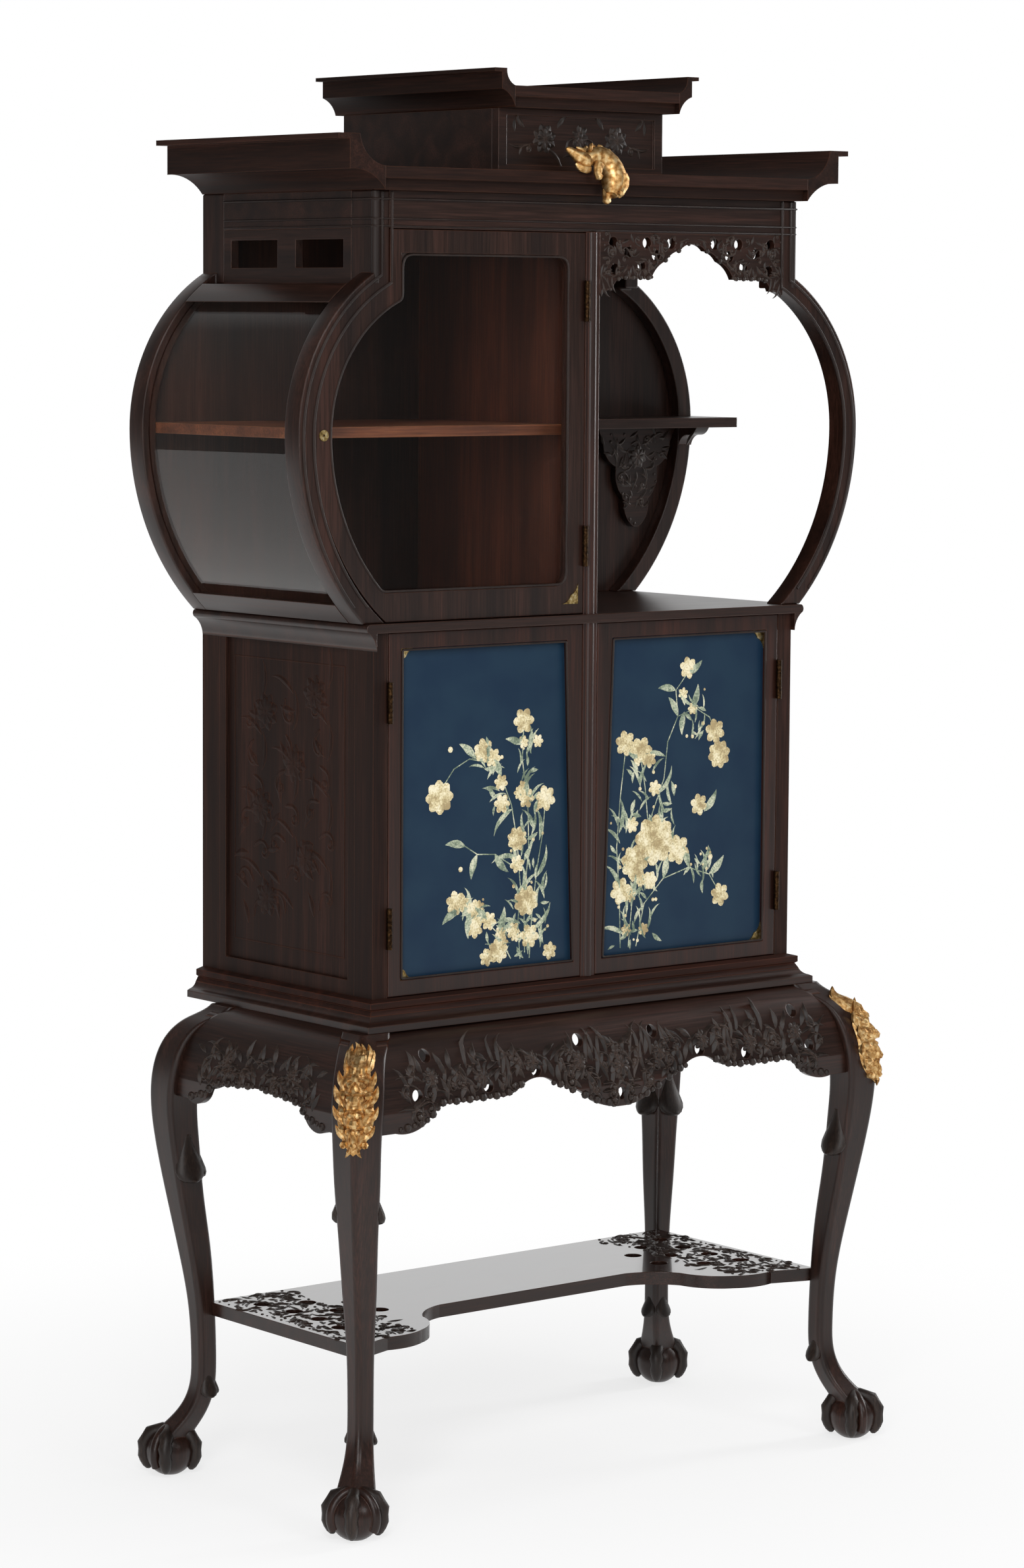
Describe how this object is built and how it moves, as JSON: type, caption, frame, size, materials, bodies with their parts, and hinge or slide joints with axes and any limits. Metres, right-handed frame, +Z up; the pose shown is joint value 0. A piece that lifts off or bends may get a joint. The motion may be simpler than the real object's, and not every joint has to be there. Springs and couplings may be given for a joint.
{
  "type": "display cabinet",
  "caption": "Tall display cabinet with a bent-glass compartment, open niche and lacquer doors, on cabriole legs with ball feet.",
  "frame": {"origin": "on the floor, at the centre of the four feet", "axes": "+X to the right seen from the front, +Y to the back, +Z up"},
  "size_m": [0.97, 0.4992, 1.9],
  "materials": {
    "dark_wood": "satin, ebonised",
    "shelf_wood": "satin",
    "blue_lacquer": "polished lacquer",
    "glass": "clear",
    "gilt_bronze": "gilt, cast",
    "hinge_brass": "drawn"
  },
  "bodies": {
    "cabinet": {"apron_back": "dark_wood", "apron_front": "dark_wood", "apron_left": "dark_wood", "apron_right": "dark_wood", "base_moulding": "dark_wood", "case_back": "dark_wood", "case_bottom": "dark_wood", "case_post_back_left": "dark_wood", "case_post_back_right": "dark_wood", "case_post_front_left": "dark_wood", "case_post_front_right": "dark_wood", "case_top": "dark_wood", "centre_post": "dark_wood", "cupboard_shelf": "shelf_wood", "curved_post_back_left": "dark_wood", "curved_post_back_right": "dark_wood", "curved_post_front_left": "dark_wood", "curved_post_front_right": "dark_wood", "display_partition": "dark_wood", "display_shelf": "shelf_wood", "frieze": "dark_wood", "knee_mount_left": "gilt_bronze", "knee_mount_right": "gilt_bronze", "leg_back_left": "dark_wood", "leg_back_right": "dark_wood", "leg_front_left": "dark_wood", "leg_front_right": "dark_wood", "niche_apron": "dark_wood", "niche_brackets": "dark_wood", "niche_shelf": "shelf_wood", "post_hinges": "hinge_brass", "roof_beast_mount": "gilt_bronze", "roof_board": "dark_wood", "roof_ends": "dark_wood", "side_frame_left": "dark_wood", "side_frame_right": "dark_wood", "side_glass": "glass", "side_glass_rails": "dark_wood", "side_panel_left": "dark_wood", "side_panel_right": "dark_wood", "side_window_rail": "dark_wood", "stand_top_frame": "dark_wood", "top_box_carcass": "dark_wood", "top_box_front_board": "dark_wood", "top_roof_board": "dark_wood", "top_roof_ends": "dark_wood", "undershelf": "dark_wood", "upper_back": "dark_wood"},
    "cupboard_door_left": {"cupboard_door_left_frame": "dark_wood", "cupboard_door_left_hinges": "hinge_brass", "cupboard_door_left_lacquer": "blue_lacquer", "cupboard_door_left_mounts": "gilt_bronze"},
    "cupboard_door_right": {"cupboard_door_right_frame": "dark_wood", "cupboard_door_right_hinges": "hinge_brass", "cupboard_door_right_lacquer": "blue_lacquer", "cupboard_door_right_mounts": "gilt_bronze"},
    "display_door": {"display_door_frame": "dark_wood", "display_door_glass": "glass", "display_door_hinges": "hinge_brass", "display_door_mounts": "gilt_bronze"}
  },
  "joints": [
    {"name": "cupboard_door_left_hinge", "type": "hinge", "parent": "cabinet", "child": "cupboard_door_left", "pos_m": [-0.34025, -0.148, 0.93], "axis": [0, 0, -1], "range_deg": [0, 105]},
    {"name": "cupboard_door_right_hinge", "type": "hinge", "parent": "cabinet", "child": "cupboard_door_right", "pos_m": [0.34025, -0.148, 0.93], "axis": [0, 0, 1], "range_deg": [0, 105]},
    {"name": "display_door_hinge", "type": "hinge", "parent": "cabinet", "child": "display_door", "pos_m": [-0.01275, -0.148, 1.436], "axis": [0, 0, 1], "range_deg": [0, 105]}
  ]
}
